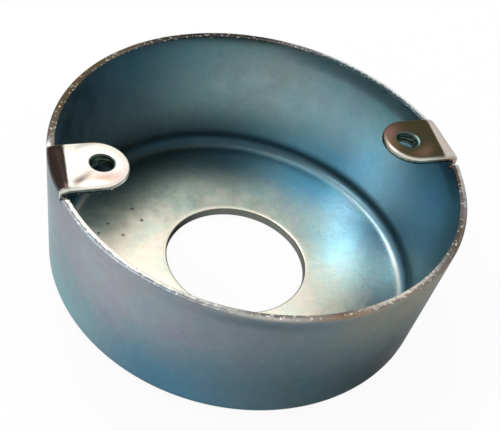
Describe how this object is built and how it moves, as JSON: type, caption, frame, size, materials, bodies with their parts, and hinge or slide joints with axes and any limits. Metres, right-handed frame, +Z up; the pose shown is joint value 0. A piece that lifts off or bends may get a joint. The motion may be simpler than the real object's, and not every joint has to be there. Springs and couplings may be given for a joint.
{
  "type": "drawn metal cup with two tapped lugs",
  "caption": "Shallow deep-drawn steel cup with a round opening in its floor and tapped lugs folded in over the rim.",
  "frame": {"origin": "centre of the floor's underside, on the cup's axis", "axes": "+Z up the cup's axis towards the open rim, +X through the two lugs"},
  "size_m": [0.066, 0.066, 0.0262],
  "materials": {
    "zinc_plated_steel": "bright zinc plate with a blue passivate over drawn steel"
  },
  "bodies": {
    "root": {"drawn_cup": "zinc_plated_steel"}
  },
  "joints": []
}
